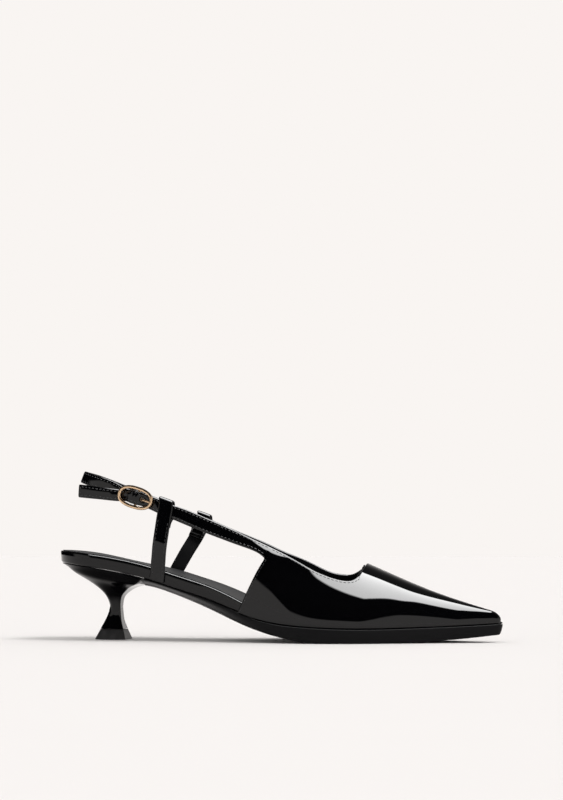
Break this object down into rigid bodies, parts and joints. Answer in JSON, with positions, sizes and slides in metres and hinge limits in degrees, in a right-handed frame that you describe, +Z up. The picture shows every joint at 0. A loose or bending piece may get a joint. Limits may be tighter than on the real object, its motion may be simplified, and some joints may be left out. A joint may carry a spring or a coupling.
{
  "type": "open-back heeled shoe",
  "caption": "Pointed open-back shoe with cut-out sides, a low flared spool heel, and upright stays that carry a buckled sling strap round the heel of the foot.",
  "frame": {"origin": "on the floor under the middle of the shoe's bounding box", "axes": "+X towards the toe, +Y towards the medial (inner) side, +Z up"},
  "size_m": [0.2592, 0.0762, 0.0989],
  "materials": {
    "patent_leather": "glossy black patent",
    "wrapped_board": "black wrap with a matt sock on top",
    "outsole_leather": "black, polished edge",
    "heel_cover": "black, glossy cover",
    "top_piece_rubber": "matt black",
    "gold_metal": "polished pale gold plating"
  },
  "bodies": {
    "root": {"outsole": "outsole_leather", "insole": "wrapped_board", "heel": "heel_cover", "heel_top_piece": "top_piece_rubber", "upper": "patent_leather", "sling_strap": "patent_leather", "stay_lateral": "patent_leather", "stay_medial": "patent_leather", "buckle_frame": "gold_metal", "buckle_prong": "gold_metal"}
  },
  "joints": []
}
